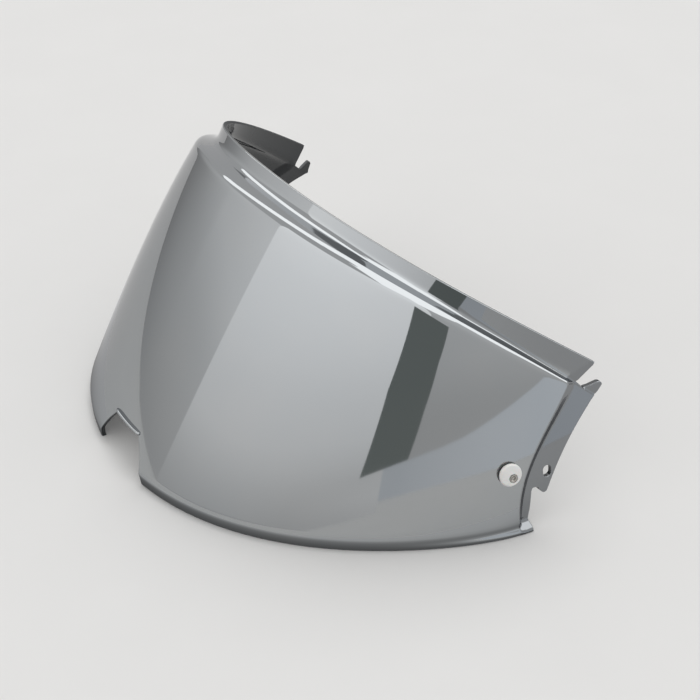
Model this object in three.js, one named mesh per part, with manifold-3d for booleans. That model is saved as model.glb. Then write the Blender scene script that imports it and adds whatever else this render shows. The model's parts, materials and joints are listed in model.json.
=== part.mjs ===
// Visor for a full-face motorcycle helmet: one moulded shield, resting on its lower edge as it does on
// a table, and on each side the eccentric pin that holds and tensions an inner anti-fog lens.
// Millimetres, +Z up, the front faces -Y and +X is the wearer's left. The origin is on the table, in
// the middle of the shield across and from front to back.

import * as THREE from "three";
import { mergeVertices } from "three/addons/utils/BufferGeometryUtils.js";
import Module from "manifold-3d";

const wasm = await Module();
wasm.setup();

// Shield: wall, and the plan of its lower edge, one curve a side from the front to the rear corner.
const WALL = 2.2;
const FOOT_HALF_WIDTH = 129.4;
const FOOT_DEPTH = 123.2;
const FOOT_FRONT_HANDLE = 98.4;
const FOOT_REAR_HANDLE = 21.1;
const FOOT_REAR_TOE_IN = 1.8;

// Shield: the rim stands behind the lower edge and falls towards the rear with a slight upward bow.
const RIM_SETBACK = 71.3;
const RIM_HALF_WIDTH = 116.4;
const RIM_DEPTH = 89;
const RIM_FRONT_HEIGHT = 120.7;
const RIM_REAR_HEIGHT = 60.7;
const RIM_BOW = 1.1;
const RIM_FRONT_HANDLE = 69.4;
const RIM_REAR_HANDLE = 50.6;
const RIM_REAR_FLARE = 14;
const RIM_EDGE_CROWN = 0.5;
const BAND_LEAN_FRONT = 3.8;
const BAND_LEAN_MIDDLE = 2.6;
const BAND_LEAN_REAR = -0.2;

// Shield: the ridge along the top of the pane, and the groove between it and the rim band.
const RIDGE_OUT_FRONT = 10.4;
const RIDGE_OUT_MIDDLE = 7;
const RIDGE_OUT_REAR = 1.8;
const RIDGE_DROP_FRONT = 4.4;
const RIDGE_DROP_MIDDLE = 7.1;
const RIDGE_DROP_REAR = 15.1;
const RIDGE_RADIUS = 2.6;
const GROOVE_DEPTH_FRONT = 1.5;
const GROOVE_RADIUS = 2.4;

// Shield: curve of the pane from the lower edge to the ridge, and how its foot rolls in.
const PANE_FOOT_RISE_SHARE = 0.41;
const PANE_HEAD_FALL_SHARE = 0.25;
const PANE_SWELL_FRONT = 3.1;
const PANE_SWELL_REAR = 4.5;
const FOOT_ROLL_DEPTH = 0.7;
const FOOT_ROLL_HEIGHT = 5.5;

// Shield: the drip lip that grows out of the lower edge towards the rear corner.
const LIP_OUT = 1.4;
const LIP_START_SHARE = 0.5;
const LIP_PROFILE_SHARES = [0.85, 1, 0.8, 0, 0];

// Shield: the raised pane ends at a seam, and the wall behind it steps in to the fixing plate.
const SEAM_FOOT_INSET = 6.7;
const SEAM_FOOT_HEIGHT = 8;
const SEAM_HEAD_INSET = 15.3;
const SEAM_HEAD_BELOW_RIM = 7.5;
const STEP_WIDTH = 7.5;
const STEP_FOOT_DEPTH = 3.4;
const STEP_ROUNDING_SHARE = 0.25;
const PLATE_OVERHANG = 14;

// Shield: rear outline seen from the side. Upper sizes are taken from the rear end of the rim.
const BAND_END_LEAN = 7.2;
const BAND_END_DROP = 8.1;
const CUT_FLOOR_LEAN = 3.8;
const CUT_FLOOR_DROP = 11.7;
const HOOK_REACH = 2;
const HOOK_DROP = 11.3;
const HOOK_RADIUS = 1.7;
const HOOK_HEEL_REACH = 1.6;
const HOOK_HEEL_DROP = 15.5;
const PLATE_EDGE_HOLLOW = 4.1;

// Shield: lower sizes of the rear outline, taken from the rear corner of the lower edge.
const TAIL_REACH = 8.2;
const TAIL_HEIGHT = 15;
const TAIL_RADIUS = 1.7;
const TAIL_NOTCH_REACH = 3.9;
const TAIL_NOTCH_HEIGHT = 17;
const TAIL_NOTCH_RADIUS = 1.2;
const REAR_EDGE_LEAN = 2;

// Shield: small slot through the fixing plate, seen from the side, and how far it lies in from the
// plate's rear edge.
const SLOT_INSET = 4.1;
const SLOT_HEIGHT = 22.6;
const SLOT_WIDTH = 3.6;
const SLOT_LENGTH = 4.8;

// Shield: opening notch in the middle of the lower edge, with a finger lip over it.
const NOTCH_FOOT_HALF_WIDTH = 19.9;
const NOTCH_FLANK_RISE = 7.5;
const NOTCH_HEAD_HALF_WIDTH = 10.4;
const NOTCH_HEIGHT = 17.5;
const FINGER_LIP_OUT = 1.3;
const FINGER_LIP_LIFT = 0.8;
const FINGER_LIP_HALF_WIDTH = 10.8;
const FINGER_LIP_THICKNESS = 1.3;

// Eccentric pin: how far its hole lies ahead of the seam, seen from the side, and its pieces.
const PIN_INSET = 7.8;
const PIN_HEIGHT = 28;
const CAP_RADIUS = 4.75;
const CAP_HEIGHT = 1.4;
const CAP_BEVEL = 0.6;
const SHANK_RADIUS = 3.3;
const SEAL_RADIUS = 4.4;
const SEAL_HEIGHT = 0.4;
const SCREW_THROW = 1.7;
const SCREW_THROW_ANGLE = -58;
const SCREW_RADIUS = 0.9;
const SCREW_HEAD_RADIUS = 1.5;
const SCREW_HEAD_HEIGHT = 0.7;
const SCREW_ENGAGEMENT = 2.2;
const SOCKET_RADIUS = 0.8;
const SOCKET_DEPTH = 0.5;
const FLANGE_RADIUS = 4.6;
const FLANGE_HEIGHT = 1;
const POST_NECK_RADIUS = 1.9;
const POST_NECK_LENGTH = 2.1;
const POST_HEAD_RADIUS = 2.7;
const POST_HEAD_HEIGHT = 1.1;

// Gaps kept between pieces, and how far a cutting solid runs past what it cuts.
const SEAT_GAP = 0.3;
const OVERRUN = 5;

// Numbers of facets.
const PANE_COLUMNS = 30;
const STEP_COLUMNS = 4;
const PLATE_COLUMNS = 5;
const PANE_ROWS = 13;
const CORNER_ROWS = 3;
const BAND_ROWS = 2;
const ROUND_SEGMENTS = 36;
const CURVE_SEGMENTS = 12;

// How closely a share found by halving is worked out.
const SHARE_TOLERANCE = 1e-7;

const RIM_END_DEPTH = RIM_SETBACK + RIM_DEPTH;
const TOTAL_DEPTH = RIM_END_DEPTH + HOOK_REACH + HOOK_RADIUS;

const mix = THREE.MathUtils.lerp;

function smooth(share) {
  return THREE.MathUtils.smoothstep(share, 0, 1);
}

// A straight ramp from 0 to 1, rounded off over the same share of its length at both ends.
function ramp(along) {
  const rounding = STEP_ROUNDING_SHARE;
  const slope = 1 / (1 - rounding);
  if (along < rounding) return (slope * along * along) / (2 * rounding);
  if (along > 1 - rounding) return 1 - (slope * (1 - along) * (1 - along)) / (2 * rounding);
  return slope * (along - rounding / 2);
}

// A size that changes evenly from the front through the one halfway round to the one at the rear.
function graded(front, halfway, rear, share) {
  const handle = 2 * halfway - (front + rear) / 2;
  return mix(mix(front, handle, share), mix(handle, rear, share), share);
}

// Solids: a closed geometry as a solid that can be cut and joined, and back again.

function solidOf(geometry) {
  const bare = geometry.clone();
  bare.deleteAttribute("normal");
  bare.deleteAttribute("uv");
  const merged = mergeVertices(bare, 1e-4);
  return new wasm.Manifold(
    new wasm.Mesh({
      numProp: 3,
      vertProperties: new Float32Array(merged.getAttribute("position").array),
      triVerts: new Uint32Array(merged.getIndex().array),
    }),
  );
}

function geometryOf(solid) {
  const mesh = solid.getMesh();
  const geometry = new THREE.BufferGeometry();
  geometry.setAttribute("position", new THREE.BufferAttribute(mesh.vertProperties, 3));
  geometry.setIndex(new THREE.BufferAttribute(mesh.triVerts, 1));
  geometry.computeVertexNormals();
  return geometry;
}

// A closed body from rings that all have the same number of points, each end closed across the ring.
function ringBody(rings) {
  const count = rings[0].length;
  const points = rings.flat();
  const faces = [];
  for (let ring = 0; ring + 1 < rings.length; ring++) {
    for (let i = 0; i < count; i++) {
      const a = ring * count + i;
      const b = ring * count + ((i + 1) % count);
      faces.push(a, b + count, b, a, a + count, b + count);
    }
  }
  const last = (rings.length - 1) * count;
  for (let i = 0; i + 1 < count - 1 - i; i++) {
    const j = count - 1 - i;
    faces.push(i, i + 1, j, last + i, last + j, last + i + 1);
    if (i + 1 < j - 1) faces.push(i + 1, j - 1, j, last + i + 1, last + j, last + j - 1);
  }
  const geometry = new THREE.BufferGeometry();
  geometry.setAttribute("position", new THREE.Float32BufferAttribute(points.flatMap((p) => p.toArray()), 3));
  geometry.setIndex(faces);
  return geometry;
}

// Plan curves of the lower edge and the rim on the +X side, from the middle to the rear end.

function planCurve(halfWidth, front, rear, frontHandle, rearHandle, rearSpread) {
  return new THREE.CubicBezierCurve(
    new THREE.Vector2(0, front),
    new THREE.Vector2(frontHandle, front),
    new THREE.Vector2(halfWidth - rearSpread, rear - rearHandle),
    new THREE.Vector2(halfWidth, rear),
  );
}

const footPlan = planCurve(
  FOOT_HALF_WIDTH, 0, FOOT_DEPTH,
  FOOT_FRONT_HANDLE, FOOT_REAR_HANDLE, -FOOT_REAR_TOE_IN,
);
const rimPlan = planCurve(
  RIM_HALF_WIDTH, RIM_SETBACK, RIM_END_DEPTH,
  RIM_FRONT_HANDLE, RIM_REAR_HANDLE, RIM_REAR_FLARE,
);

// A point of a plan curve and the direction that faces out. Past its rear end the curve runs straight.
function onPlan(plan, share) {
  const point = plan.getPoint(Math.min(share, 1));
  const along = plan.getTangent(Math.min(share, 1));
  if (share > 1) point.addScaledVector(along, (share - 1) * FOOT_DEPTH);
  return {
    point: new THREE.Vector3(point.x, point.y, 0),
    outward: new THREE.Vector3(along.y, -along.x, 0),
  };
}

// Section of the shield at one share of the way round: its corners and the curve of its pane.
function section(share) {
  const round = Math.min(share, 1);
  const foot = onPlan(footPlan, share);
  const rim = onPlan(rimPlan, share);

  const ridgeOut = graded(RIDGE_OUT_FRONT, RIDGE_OUT_MIDDLE, RIDGE_OUT_REAR, round);
  const ridgeDrop = graded(RIDGE_DROP_FRONT, RIDGE_DROP_MIDDLE, RIDGE_DROP_REAR, round);
  const lean = graded(BAND_LEAN_FRONT, BAND_LEAN_MIDDLE, BAND_LEAN_REAR, round);
  const top = rim.point.clone().addScaledVector(rim.outward, -lean);
  const back = (rim.point.y - RIM_SETBACK) / RIM_DEPTH;
  top.z = mix(RIM_FRONT_HEIGHT, RIM_REAR_HEIGHT, back) + 4 * RIM_BOW * back * (1 - back);
  const ridge = rim.point.clone().addScaledVector(rim.outward, ridgeOut);
  ridge.z = top.z - ridgeDrop;
  const groove = rim.point.clone();
  groove.z = ridge.z - mix(GROOVE_DEPTH_FRONT, 0, round);

  const roll = mix(FOOT_ROLL_DEPTH, 0, round);
  const start = foot.point.clone().addScaledVector(foot.outward, roll);
  start.z = FOOT_ROLL_HEIGHT;
  const swell = mix(PANE_SWELL_FRONT, PANE_SWELL_REAR, round);
  const lower = start.clone().lerp(ridge, PANE_FOOT_RISE_SHARE).addScaledVector(foot.outward, swell);
  const upper = ridge.clone().lerp(start, PANE_HEAD_FALL_SHARE).addScaledVector(foot.outward, swell);
  const pane = new THREE.CubicBezierCurve3(start, lower, upper, ridge);
  return { foot, rim, roll, ridgeOut, pane, ridge, groove, top };
}

// A rounded corner: the curve that leaves one leg and joins the other at a distance from the corner.
function corner(before, point, after, radius) {
  const reachIn = Math.min(radius, before.distanceTo(point) / 2);
  const reachOut = Math.min(radius, after.distanceTo(point) / 2);
  return new THREE.QuadraticBezierCurve3(
    point.clone().lerp(before, reachIn / before.distanceTo(point)),
    point,
    point.clone().lerp(after, reachOut / after.distanceTo(point)),
  );
}

// Rows of the outer skin, from the lower edge to the rim. Each gives its point on a section, its share
// of the foot's step over the ridge's, and how much of that step it is carried in behind the seam.
const rows = [];
LIP_PROFILE_SHARES.slice(0, -1).forEach((lipShare, index) => {
  const turn = (Math.PI / 2) * (index / (LIP_PROFILE_SHARES.length - 1));
  rows.push({
    lipShare,
    footShare: 1,
    carried: 1,
    at(cut) {
      const point = cut.foot.point.clone().addScaledVector(cut.foot.outward, cut.roll * Math.sin(turn));
      point.z = FOOT_ROLL_HEIGHT * (1 - Math.cos(turn));
      return point;
    },
  });
});
for (let index = 0; index < PANE_ROWS; index++) {
  const share = index / PANE_ROWS;
  rows.push({ lipShare: 0, footShare: 1 - share, carried: 1, at: (cut) => cut.pane.getPoint(share) });
}
for (let index = 0; index <= CORNER_ROWS; index++) {
  const share = index / CORNER_ROWS;
  rows.push({
    lipShare: 0,
    footShare: 0,
    carried: 1 - share / 2,
    at(cut) {
      const before = cut.pane.getPoint((PANE_ROWS - 1) / PANE_ROWS);
      return corner(before, cut.ridge, cut.groove, RIDGE_RADIUS).getPoint(share);
    },
  });
}
for (let index = 1; index <= CORNER_ROWS; index++) {
  const share = index / CORNER_ROWS;
  rows.push({
    lipShare: 0,
    footShare: 0,
    carried: (1 - share) / 2,
    at: (cut) => corner(cut.ridge, cut.groove, cut.top, GROOVE_RADIUS).getPoint(share),
  });
}
for (let index = 1; index <= BAND_ROWS; index++) {
  rows.push({
    lipShare: 0,
    footShare: 0,
    carried: 0,
    at(cut) {
      const base = corner(cut.ridge, cut.groove, cut.top, GROOVE_RADIUS).getPoint(1);
      return base.lerp(cut.top, index / BAND_ROWS);
    },
  });
}

// Where the raised pane ends, as a depth at each height: it leans back more and more as it rises.
function seamDepth(height) {
  const headHeight = RIM_REAR_HEIGHT - SEAM_HEAD_BELOW_RIM;
  const share = Math.max(0, (height - SEAM_FOOT_HEIGHT) / (headHeight - SEAM_FOOT_HEIGHT));
  return mix(FOOT_DEPTH - SEAM_FOOT_INSET, RIM_END_DEPTH - SEAM_HEAD_INSET, share * share);
}

// The share at which a function of the share crosses zero from below.
function crossing(value) {
  let low = 0;
  let high = 1;
  while (high - low > SHARE_TOLERANCE) {
    const middle = (low + high) / 2;
    if (value(middle) < 0) low = middle;
    else high = middle;
  }
  return low;
}

const ridgeRow = rows[LIP_PROFILE_SHARES.length - 1 + PANE_ROWS];

function seamShare(row) {
  const line = row.carried < 1 ? ridgeRow : row;
  return crossing((share) => {
    const point = line.at(section(share));
    return point.y - seamDepth(point.z);
  });
}

// The columns of one row on the +X side: shares of the way round, and how far each is stepped in.
function columnsOf(row) {
  const seam = seamShare(row);
  const stepShare = STEP_WIDTH / (FOOT_DEPTH + FOOT_HALF_WIDTH);
  const end = 1 + PLATE_OVERHANG / FOOT_DEPTH;
  const columns = [];
  for (let i = 0; i <= PANE_COLUMNS; i++) {
    columns.push({ share: (seam * i) / PANE_COLUMNS, step: 0 });
  }
  for (let i = 1; i <= STEP_COLUMNS; i++) {
    const along = i / STEP_COLUMNS;
    columns.push({ share: seam + stepShare * along, step: ramp(along) });
  }
  for (let i = 1; i <= PLATE_COLUMNS; i++) {
    columns.push({ share: mix(seam + stepShare, end, i / PLATE_COLUMNS), step: 1 });
  }
  return columns;
}

// The outer skin as a grid of points, with or without the drip lip. The lip runs straight on past the
// seam, so it stands out further from the stepped wall behind it.
function skinRow(row, withLip) {
  return columnsOf(row).map(({ share, step }) => {
    const cut = section(share);
    const point = row.at(cut);
    const stepIn = mix(cut.ridgeOut, STEP_FOOT_DEPTH, row.footShare) * row.carried * step;
    point.addScaledVector(cut.rim.outward, -stepIn);
    if (withLip) {
      const grown = smooth((share - LIP_START_SHARE) / (1 - LIP_START_SHARE));
      point.addScaledVector(cut.foot.outward, row.lipShare * (LIP_OUT * grown + stepIn));
    }
    return point;
  });
}

// Both halves of a row, from the wearer's right to the wearer's left.
function wholeRow(half) {
  const mirrored = half.slice(1).reverse().map((p) => new THREE.Vector3(-p.x, p.y, p.z));
  return [...mirrored, ...half];
}

function gridNormal(grid, row, column) {
  const above = grid[Math.min(row + 1, grid.length - 1)][column];
  const below = grid[Math.max(row - 1, 0)][column];
  const right = grid[row][Math.min(column + 1, grid[row].length - 1)];
  const left = grid[row][Math.max(column - 1, 0)];
  return right.clone().sub(left).cross(above.clone().sub(below)).normalize();
}

// The shield's wall: the outer skin, the same skin moved in by the wall, and a crowned rim between.
function wallBody() {
  const plain = rows.map((row) => wholeRow(skinRow(row, false)));
  const outer = rows.map((row) => wholeRow(skinRow(row, true)));
  const inner = plain.map((line, row) =>
    line.map((point, column) => {
      const normal = gridNormal(plain, row, column);
      if (row === 0) normal.setZ(0).normalize();
      return point.clone().addScaledVector(normal, -WALL);
    }),
  );
  const crown = outer.at(-1).map((point, column) => {
    const middle = point.clone().lerp(inner.at(-1)[column], 1 / 2);
    middle.z += RIM_EDGE_CROWN;
    return middle;
  });
  const rings = outer[0].map((_, column) => [
    ...outer.map((line) => line[column]),
    crown[column],
    ...inner.map((line) => line[column]).reverse(),
  ]);
  return ringBody(rings);
}

// Cutting solids of the shield

// A shape drawn with depth to the right and height up, cut straight through from side to side.
function sideCutter(shape) {
  const halfWidth = Math.max(FOOT_HALF_WIDTH, RIM_HALF_WIDTH) + PLATE_OVERHANG;
  const geometry = new THREE.ExtrudeGeometry(shape, {
    depth: 2 * halfWidth, bevelEnabled: false, curveSegments: CURVE_SEGMENTS,
  });
  geometry.applyMatrix4(new THREE.Matrix4().set(
    0, 0, 1, -halfWidth,
    1, 0, 0, 0,
    0, 1, 0, 0,
    0, 0, 0, 1,
  ));
  return geometry;
}

// The hollow rear edge of the fixing plate, seen from the side: from the heel of the upper hook to the
// round end of the tail, which it meets at a tangent.
const tailCentre = new THREE.Vector2(FOOT_DEPTH + TAIL_REACH, TAIL_HEIGHT);
const heel = new THREE.Vector2(RIM_END_DEPTH + HOOK_HEEL_REACH, RIM_REAR_HEIGHT - HOOK_HEEL_DROP);
const edgeAlong = heel.clone().sub(tailCentre).normalize();
const edgeOutward = new THREE.Vector2(edgeAlong.y, -edgeAlong.x);
const tailHead = tailCentre.clone().addScaledVector(edgeOutward, TAIL_RADIUS);
const waist = heel.clone().lerp(tailHead, 1 / 2).addScaledVector(edgeOutward, -2 * PLATE_EDGE_HOLLOW);
const plateEdge = new THREE.QuadraticBezierCurve(tailHead, waist, heel);

// Everything behind the rear outline: the end of the rim band, the V cut, the upper hook, the
// hollow edge of the fixing plate, the tail hook with its notch, and the edge down to the corner.
function rearCutter() {
  const far = TOTAL_DEPTH + PLATE_OVERHANG + OVERRUN;
  const hookDepth = RIM_END_DEPTH + HOOK_REACH;
  const hookHeight = RIM_REAR_HEIGHT - HOOK_DROP;
  const notchDepth = FOOT_DEPTH + TAIL_NOTCH_REACH;
  const tailTurn = edgeOutward.angle() - 2 * Math.PI;

  const outline = new THREE.Shape();
  outline.moveTo(far, RIM_REAR_HEIGHT + OVERRUN);
  outline.lineTo(RIM_END_DEPTH + BAND_END_LEAN * (OVERRUN / BAND_END_DROP), RIM_REAR_HEIGHT + OVERRUN);
  outline.lineTo(RIM_END_DEPTH - BAND_END_LEAN, RIM_REAR_HEIGHT - BAND_END_DROP);
  outline.lineTo(RIM_END_DEPTH - CUT_FLOOR_LEAN, RIM_REAR_HEIGHT - CUT_FLOOR_DROP);
  outline.absarc(hookDepth, hookHeight, HOOK_RADIUS, Math.PI * (2 / 3), 0, true);
  outline.lineTo(heel.x, heel.y);
  outline.quadraticCurveTo(waist.x, waist.y, tailHead.x, tailHead.y);
  outline.absarc(tailCentre.x, tailCentre.y, TAIL_RADIUS, tailTurn, -Math.PI * (3 / 4), true);
  outline.lineTo(notchDepth + TAIL_NOTCH_RADIUS, TAIL_NOTCH_HEIGHT - TAIL_NOTCH_RADIUS);
  outline.quadraticCurveTo(
    notchDepth + TAIL_NOTCH_RADIUS, TAIL_NOTCH_HEIGHT, notchDepth, TAIL_NOTCH_HEIGHT,
  );
  outline.lineTo(FOOT_DEPTH + REAR_EDGE_LEAN + TAIL_NOTCH_RADIUS / 2, TAIL_NOTCH_HEIGHT);
  outline.lineTo(FOOT_DEPTH + REAR_EDGE_LEAN, TAIL_NOTCH_HEIGHT - TAIL_NOTCH_RADIUS);
  outline.lineTo(FOOT_DEPTH, 0);
  outline.lineTo(FOOT_DEPTH, -OVERRUN);
  outline.lineTo(far, -OVERRUN);
  outline.closePath();
  return sideCutter(outline);
}

// The slot through both fixing plates: a rounded slot that stands across the plate's edge.
function slotCutter() {
  const straight = (SLOT_LENGTH - SLOT_WIDTH) / 2;
  const radius = SLOT_WIDTH / 2;
  const atEdge = crossing((share) => plateEdge.getPoint(share).y - SLOT_HEIGHT);
  const depth = plateEdge.getPoint(atEdge).x - SLOT_INSET;
  const outline = new THREE.Shape();
  outline.absarc(depth, SLOT_HEIGHT + straight, radius, 0, Math.PI, false);
  outline.absarc(depth, SLOT_HEIGHT - straight, radius, Math.PI, 2 * Math.PI, false);
  outline.closePath();
  return sideCutter(outline);
}

// The opening notch, drawn from the front and cut through the front wall only.
function notchCutter() {
  const outline = new THREE.Shape();
  outline.moveTo(-NOTCH_FOOT_HALF_WIDTH, -OVERRUN);
  outline.lineTo(NOTCH_FOOT_HALF_WIDTH, -OVERRUN);
  outline.lineTo(NOTCH_FOOT_HALF_WIDTH, 0);
  outline.quadraticCurveTo(
    NOTCH_FOOT_HALF_WIDTH, NOTCH_FLANK_RISE, NOTCH_HEAD_HALF_WIDTH, NOTCH_HEIGHT,
  );
  outline.lineTo(-NOTCH_HEAD_HALF_WIDTH, NOTCH_HEIGHT);
  outline.quadraticCurveTo(
    -NOTCH_FOOT_HALF_WIDTH, NOTCH_FLANK_RISE, -NOTCH_FOOT_HALF_WIDTH, 0,
  );
  outline.closePath();
  const reach = RIM_SETBACK / 2;
  const geometry = new THREE.ExtrudeGeometry(outline, {
    depth: reach + 2 * OVERRUN, bevelEnabled: false, curveSegments: CURVE_SEGMENTS,
  });
  geometry.rotateX(Math.PI / 2);
  geometry.translate(0, reach + OVERRUN, 0);
  return geometry;
}

// A point of the plain outer skin and its outward normal, found from its height and a condition.
function skinPoint(share, height) {
  const pane = section(share).pane;
  const along = crossing((t) => pane.getPoint(t).z - height);
  return pane.getPoint(along);
}

function skinFrame(share, height) {
  const nudge = 1e-3;
  const point = skinPoint(share, height);
  const ahead = skinPoint(share + nudge, height).sub(skinPoint(Math.abs(share - nudge), height));
  const upward = skinPoint(share, height * (1 + nudge)).sub(skinPoint(share, height * (1 - nudge)));
  return { point, ahead: ahead.normalize(), normal: ahead.clone().cross(upward).normalize() };
}

// The finger lip over the notch: a tapered bar that follows the skin and rises as it stands out.
function fingerLipBody() {
  const rings = [];
  const count = 2 * CURVE_SEGMENTS;
  for (let i = 0; i <= count; i++) {
    const across = mix(-1, 1, i / count);
    const share = crossing((t) => skinPoint(t, NOTCH_HEIGHT).x - Math.abs(across) * FINGER_LIP_HALF_WIDTH);
    const skin = skinPoint(share, NOTCH_HEIGHT + FINGER_LIP_THICKNESS / 2);
    const outward = section(share).foot.outward.clone();
    skin.x *= Math.sign(across);
    outward.x *= Math.sign(across);
    const grown = Math.sqrt(Math.max(0, 1 - across ** 8));
    const out = FINGER_LIP_OUT * grown;
    const lift = FINGER_LIP_LIFT * grown;
    const root = -WALL / 2;
    const half = FINGER_LIP_THICKNESS / 2;
    const profile = [
      [root, -half, 0],
      [out - half, -half, 1],
      [out, 0, 1],
      [out - half, half, 1],
      [root, half, 0],
    ];
    rings.push(profile.map(([reach, rise, raised]) => {
      const point = skin.clone().addScaledVector(outward, Math.max(reach, root + SEAT_GAP * raised));
      point.z += rise + lift * raised;
      return point;
    }));
  }
  return ringBody(rings);
}

// Where the eccentric pins stand. The local frame of a pin has +Z out of the wall, +X to the rear.
function pinPlace(side) {
  const depth = seamDepth(PIN_HEIGHT) - PIN_INSET;
  const share = crossing((t) => skinPoint(t, PIN_HEIGHT).y - depth);
  const { point, ahead, normal } = skinFrame(share, PIN_HEIGHT);
  point.x *= side;
  ahead.x *= side;
  normal.x *= side;
  const across = normal.clone().cross(ahead);
  return new THREE.Matrix4().makeBasis(ahead, across, normal).setPosition(point);
}

// Shield

function shieldBody() {
  let solid = solidOf(wallBody());
  solid = solid.subtract(solidOf(rearCutter()));
  solid = solid.subtract(solidOf(slotCutter()));
  solid = solid.subtract(solidOf(notchCutter()));
  solid = solid.add(solidOf(fingerLipBody()));
  for (const side of [1, -1]) {
    const hole = turned([
      [0, -WALL - OVERRUN],
      [SHANK_RADIUS + SEAT_GAP, -WALL - OVERRUN],
      [SHANK_RADIUS + SEAT_GAP, OVERRUN],
      [0, OVERRUN],
    ]);
    solid = solid.subtract(solidOf(hole.applyMatrix4(pinPlace(side))));
  }
  return geometryOf(solid);
}

// Eccentric pin, from the outside in: cap with its shank through the wall, seal, screw and stud.

// A turned body about +Z from the radius and height of each corner, from its lower end to its upper.
function turned(corners) {
  const profile = corners.map(([radius, height]) => new THREE.Vector2(radius, height));
  return new THREE.LatheGeometry(profile, ROUND_SEGMENTS).rotateX(Math.PI / 2);
}

const SEAL_FOOT = SEAT_GAP;
const CAP_FOOT = SEAL_FOOT + SEAL_HEIGHT + SEAT_GAP;
const CAP_TOP = CAP_FOOT + CAP_HEIGHT;
const SCREW_HEAD_FOOT = CAP_TOP - SCREW_HEAD_HEIGHT;
const FLANGE_TOP = -WALL - SEAT_GAP;
const FLANGE_FOOT = FLANGE_TOP - FLANGE_HEIGHT;

function capBody(throwX, throwY) {
  const cap = turned([
    [0, -WALL],
    [SHANK_RADIUS, -WALL],
    [SHANK_RADIUS, CAP_FOOT],
    [CAP_RADIUS, CAP_FOOT],
    [CAP_RADIUS, CAP_TOP - CAP_BEVEL],
    [CAP_RADIUS - CAP_BEVEL, CAP_TOP],
    [0, CAP_TOP],
  ]);
  const bore = turned([
    [0, -WALL - OVERRUN],
    [SCREW_RADIUS + SEAT_GAP, -WALL - OVERRUN],
    [SCREW_RADIUS + SEAT_GAP, SCREW_HEAD_FOOT - SEAT_GAP],
    [SCREW_HEAD_RADIUS + SEAT_GAP, SCREW_HEAD_FOOT - SEAT_GAP],
    [SCREW_HEAD_RADIUS + SEAT_GAP, CAP_TOP + OVERRUN],
    [0, CAP_TOP + OVERRUN],
  ]);
  bore.translate(throwX, throwY, 0);
  return geometryOf(solidOf(cap).subtract(solidOf(bore)));
}

function sealBody() {
  return turned([
    [SHANK_RADIUS + SEAT_GAP, SEAL_FOOT],
    [SEAL_RADIUS, SEAL_FOOT],
    [SEAL_RADIUS, SEAL_FOOT + SEAL_HEIGHT],
    [SHANK_RADIUS + SEAT_GAP, SEAL_FOOT + SEAL_HEIGHT],
    [SHANK_RADIUS + SEAT_GAP, SEAL_FOOT],
  ]);
}

function screwBody(throwX, throwY) {
  const screw = turned([
    [0, FLANGE_TOP - SCREW_ENGAGEMENT],
    [SCREW_RADIUS, FLANGE_TOP - SCREW_ENGAGEMENT],
    [SCREW_RADIUS, SCREW_HEAD_FOOT],
    [SCREW_HEAD_RADIUS, SCREW_HEAD_FOOT],
    [SCREW_HEAD_RADIUS, CAP_TOP],
    [0, CAP_TOP],
  ]);
  const socket = new THREE.CylinderGeometry(SOCKET_RADIUS, SOCKET_RADIUS, SOCKET_DEPTH + OVERRUN, 6);
  socket.rotateX(Math.PI / 2);
  socket.translate(0, 0, CAP_TOP - SOCKET_DEPTH + (SOCKET_DEPTH + OVERRUN) / 2);
  const body = solidOf(screw).subtract(solidOf(socket));
  return geometryOf(body).translate(throwX, throwY, 0);
}

function studBody(throwX, throwY) {
  const neckFoot = FLANGE_FOOT - POST_NECK_LENGTH;
  const headFoot = neckFoot - POST_HEAD_HEIGHT;
  const flange = turned([
    [0, FLANGE_FOOT],
    [FLANGE_RADIUS, FLANGE_FOOT],
    [FLANGE_RADIUS, FLANGE_TOP],
    [0, FLANGE_TOP],
  ]);
  const post = turned([
    [0, headFoot],
    [POST_HEAD_RADIUS - CAP_BEVEL, headFoot],
    [POST_HEAD_RADIUS, headFoot + CAP_BEVEL],
    [POST_HEAD_RADIUS, neckFoot],
    [POST_NECK_RADIUS, neckFoot],
    [POST_NECK_RADIUS, FLANGE_FOOT + FLANGE_HEIGHT / 2],
    [0, FLANGE_FOOT + FLANGE_HEIGHT / 2],
  ]);
  const bore = turned([
    [0, FLANGE_TOP - SCREW_ENGAGEMENT - SEAT_GAP],
    [SCREW_RADIUS + SEAT_GAP, FLANGE_TOP - SCREW_ENGAGEMENT - SEAT_GAP],
    [SCREW_RADIUS + SEAT_GAP, FLANGE_TOP + OVERRUN],
    [0, FLANGE_TOP + OVERRUN],
  ]);
  post.translate(throwX, throwY, 0);
  bore.translate(throwX, throwY, 0);
  return geometryOf(solidOf(flange).add(solidOf(post)).subtract(solidOf(bore)));
}

// Materials

const smokeMirror = new THREE.MeshStandardMaterial({
  color: 0x84898c, roughness: 0.08, metalness: 0.9, side: THREE.DoubleSide,
});
const whiteNylon = new THREE.MeshStandardMaterial({ color: 0xe8e6e2, roughness: 0.45, metalness: 0 });
const clearSilicone = new THREE.MeshStandardMaterial({ color: 0xb9bcbd, roughness: 0.6, metalness: 0 });
const stainless = new THREE.MeshStandardMaterial({ color: 0x8d8a86, roughness: 0.3, metalness: 1 });

// Assembly

function piece(name, geometry, material) {
  const mesh = new THREE.Mesh(geometry, material);
  mesh.name = name;
  return mesh;
}

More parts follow.
